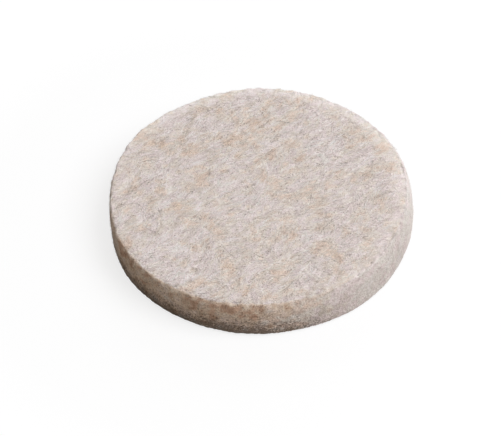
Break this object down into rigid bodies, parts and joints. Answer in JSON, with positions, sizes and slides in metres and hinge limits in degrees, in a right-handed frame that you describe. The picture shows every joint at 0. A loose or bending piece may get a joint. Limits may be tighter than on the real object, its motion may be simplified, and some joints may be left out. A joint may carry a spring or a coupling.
{
  "type": "furniture glide",
  "caption": "Round thick pad of pressed wool-blend felt, with a soft rim on its sliding face, that goes under the leg of a chair or table so that it slides without scratching the floor.",
  "frame": {"origin": "centre of the flat furniture side of the pad, which is glued to the leg", "axes": "+Z is the pad's axis, from the furniture side to the face that slides on the floor; X and Y lie in the plane of the furniture side"},
  "size_m": [0.0379, 0.0379, 0.005],
  "materials": {
    "felt": "matt pressed felt in a mottled pinkish beige, with loose surface fibres"
  },
  "bodies": {
    "root": {"felt_pad": "felt"}
  },
  "joints": []
}
